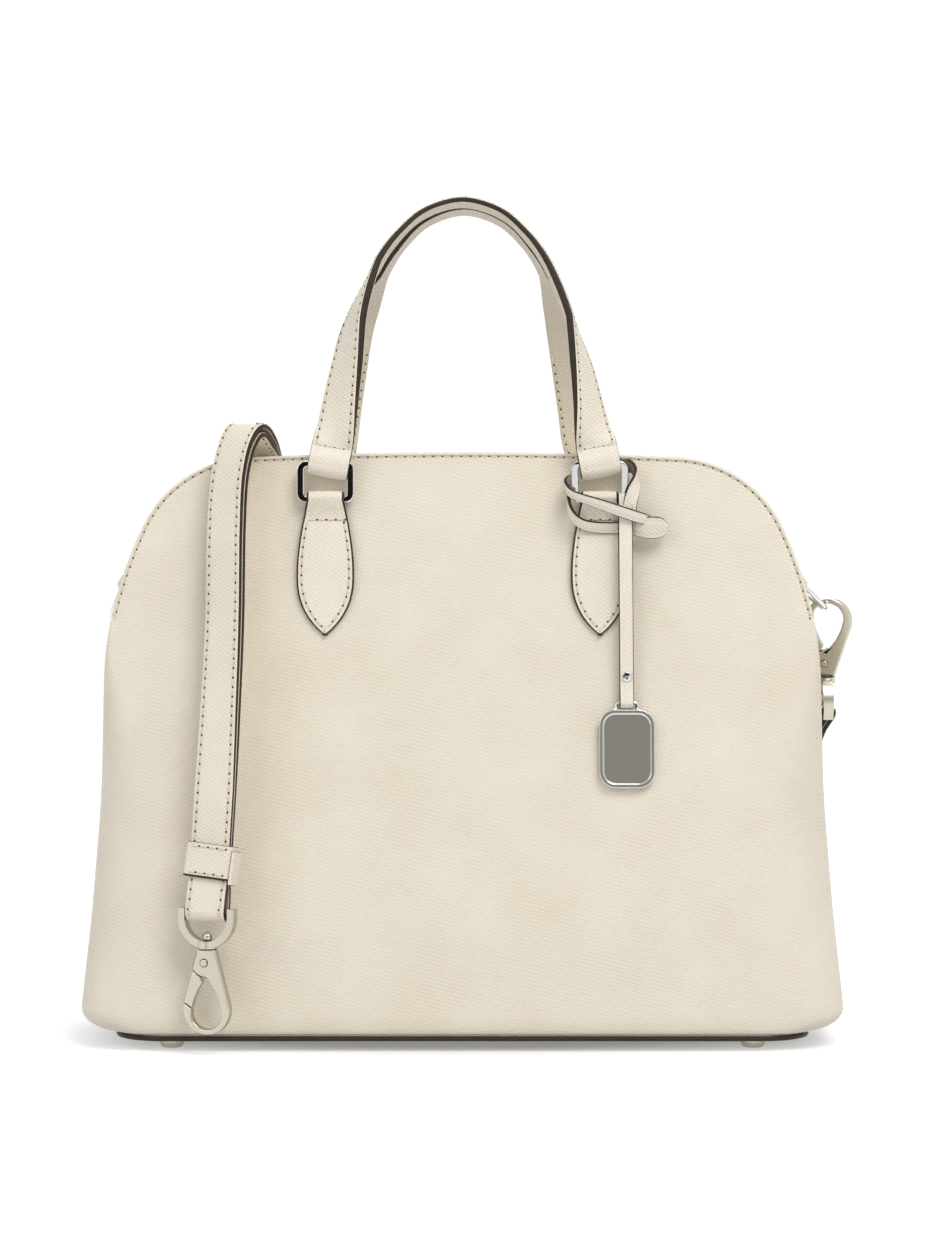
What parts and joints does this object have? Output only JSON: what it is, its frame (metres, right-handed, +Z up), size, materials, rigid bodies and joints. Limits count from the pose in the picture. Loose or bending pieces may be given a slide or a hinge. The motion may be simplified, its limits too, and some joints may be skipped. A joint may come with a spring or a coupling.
{
  "type": "leather satchel",
  "caption": "Dome-top structured satchel with paired arched handles on rings, a clip-on flat shoulder strap with snap hooks, metal feet and a hanging tag.",
  "frame": {"origin": "middle of the base panel's underside; the feet reach 5 mm below it", "axes": "+X to the right seen from the front, +Y to the back, +Z up; the front with the tag faces -Y"},
  "size_m": [0.3821, 0.1681, 0.417],
  "materials": {
    "cream_leather": "embossed pebble grain, satin",
    "suede_lining": "matt suede cloth",
    "stiffener_board": "matt board",
    "zip_tape": "woven tape",
    "satin_nickel": "satin nickel plating",
    "bright_chrome": "bright plating"
  },
  "bodies": {
    "bag": {"front_panel": "cream_leather", "back_panel": "cream_leather", "lining": "suede_lining", "zip_gusset": "cream_leather", "zip_tape_front": "zip_tape", "zip_tape_back": "zip_tape", "zip_chain": "satin_nickel", "base_panel": "cream_leather", "base_board": "stiffener_board", "foot_front_left": "satin_nickel", "foot_front_right": "satin_nickel", "foot_back_left": "satin_nickel", "foot_back_right": "satin_nickel", "handle_tab_front_left": "cream_leather", "handle_tab_front_right": "cream_leather", "handle_tab_back_left": "cream_leather", "handle_tab_back_right": "cream_leather", "d_ring_tab_left": "cream_leather", "d_ring_tab_right": "cream_leather", "shoulder_strap": "cream_leather", "strap_adjuster": "satin_nickel", "hook_yoke_side": "satin_nickel", "lanyard_loop": "cream_leather"},
    "slider": {"zip_slider": "satin_nickel"},
    "puller": {"zip_puller": "satin_nickel"},
    "ring_front_left": {"handle_ring_front_left": "bright_chrome"},
    "ring_front_right": {"handle_ring_front_right": "bright_chrome", "lanyard_wrap": "cream_leather"},
    "ring_back_left": {"handle_ring_back_left": "bright_chrome"},
    "ring_back_right": {"handle_ring_back_right": "bright_chrome"},
    "carry_handle_front": {"handle_front": "cream_leather"},
    "carry_handle_back": {"handle_back": "cream_leather"},
    "side_ring_left": {"d_ring_left": "bright_chrome"},
    "side_ring_right": {"d_ring_right": "bright_chrome"},
    "front_yoke": {"hook_yoke_front": "satin_nickel"},
    "front_hook": {"hook_body_front": "satin_nickel", "hook_rivet_front": "satin_nickel"},
    "front_gate": {"hook_gate_front": "satin_nickel"},
    "side_hook": {"hook_body_side": "satin_nickel", "hook_rivet_side": "satin_nickel"},
    "side_gate": {"hook_gate_side": "satin_nickel"},
    "keeper": {"strap_keeper": "cream_leather"},
    "lanyard": {"lanyard_drop": "cream_leather", "lanyard_rivet": "satin_nickel"},
    "hanging_tag": {"tag": "satin_nickel"}
  },
  "joints": [
    {"name": "front_ring_left_swing", "type": "hinge", "parent": "bag", "child": "ring_front_left", "pos_m": [-0.067, -0.03545, 0.2608], "axis": [1, 0, 0], "range_deg": [0, 25]},
    {"name": "front_ring_right_swing", "type": "hinge", "parent": "bag", "child": "ring_front_right", "pos_m": [0.067, -0.03545, 0.2608], "axis": [1, 0, 0], "range_deg": [0, 25]},
    {"name": "front_handle_swing", "type": "hinge", "parent": "ring_front_left", "child": "carry_handle_front", "pos_m": [-0.067, -0.03545, 0.2783], "axis": [1, 0, 0], "range_deg": [0, 85]},
    {"name": "back_ring_left_swing", "type": "hinge", "parent": "bag", "child": "ring_back_left", "pos_m": [-0.067, 0.03545, 0.2608], "axis": [-1, 0, 0], "range_deg": [0, 60]},
    {"name": "back_ring_right_swing", "type": "hinge", "parent": "bag", "child": "ring_back_right", "pos_m": [0.067, 0.03545, 0.2608], "axis": [-1, 0, 0], "range_deg": [0, 60]},
    {"name": "back_handle_swing", "type": "hinge", "parent": "ring_back_left", "child": "carry_handle_back", "pos_m": [-0.067, 0.03545, 0.2783], "axis": [-1, 0, 0], "range_deg": [0, 85]},
    {"name": "lanyard_hang", "type": "hinge", "parent": "ring_front_right", "child": "lanyard", "pos_m": [0.07925, -0.04075, 0.262], "axis": [1, 0, 0], "range_deg": [-25, 0]},
    {"name": "tag_swing", "type": "hinge", "parent": "lanyard", "child": "hanging_tag", "pos_m": [0.0796, -0.0472, 0.162], "axis": [-1, 0, 0], "range_deg": [0, 80]},
    {"name": "zip_slider_travel", "type": "hinge", "parent": "bag", "child": "slider", "pos_m": [0.10364, 0, 0.2229], "axis": [0, 1, 0], "range_deg": [-50, 4]},
    {"name": "zip_puller_flip", "type": "hinge", "parent": "slider", "child": "puller", "pos_m": [0.15106, 0, 0.25681], "axis": [0, -1, 0], "range_deg": [0, 150]},
    {"name": "left_d_ring_swing", "type": "hinge", "parent": "bag", "child": "side_ring_left", "pos_m": [-0.16894, 0, 0.21993], "axis": [0, 1, 0], "range_deg": [-10, 110]},
    {"name": "right_d_ring_swing", "type": "hinge", "parent": "bag", "child": "side_ring_right", "pos_m": [0.16894, 0, 0.21993], "axis": [0, 1, 0], "range_deg": [-2, 2]},
    {"name": "front_hook_swing", "type": "hinge", "parent": "bag", "child": "front_yoke", "pos_m": [-0.1208, -0.0757, 0.0638], "axis": [-0.9563, 0.2924, 0], "range_deg": [0, 60]},
    {"name": "front_hook_swivel", "type": "hinge", "parent": "front_yoke", "child": "front_hook", "pos_m": [-0.1208, -0.0757, 0.05], "axis": [0, 0, 1], "continuous": true},
    {"name": "front_hook_gate", "type": "hinge", "parent": "front_hook", "child": "front_gate", "pos_m": [-0.12176, -0.07541, 0.0398], "axis": [-0.2924, -0.9563, 0], "range_deg": [0, 13], "stiffness_Nm_per_rad": 0.05, "springref_deg": -11.46},
    {"name": "side_hook_swivel", "type": "hinge", "parent": "bag", "child": "side_hook", "pos_m": [0.1844, 0.0155, 0.1573], "axis": [0, 0.2756, -0.9613], "range_deg": [-2, 1.5]},
    {"name": "side_hook_gate", "type": "hinge", "parent": "side_hook", "child": "side_gate", "pos_m": [0.18344, 0.00915, 0.18045], "axis": [0.2756, 0.924, 0.265], "range_deg": [0, 13], "stiffness_Nm_per_rad": 0.05, "springref_deg": -11.46},
    {"name": "keeper_slide", "type": "slide", "parent": "bag", "child": "keeper", "axis": [0.0539, 0.1121, 0.9922], "range_m": [0, 0.02]}
  ],
  "couplings": [
    {"joint": "front_ring_right_swing", "follows": "front_ring_left_swing", "ratio": 1},
    {"joint": "lanyard_hang", "follows": "front_ring_left_swing", "ratio": -1},
    {"joint": "back_ring_right_swing", "follows": "back_ring_left_swing", "ratio": 1}
  ]
}
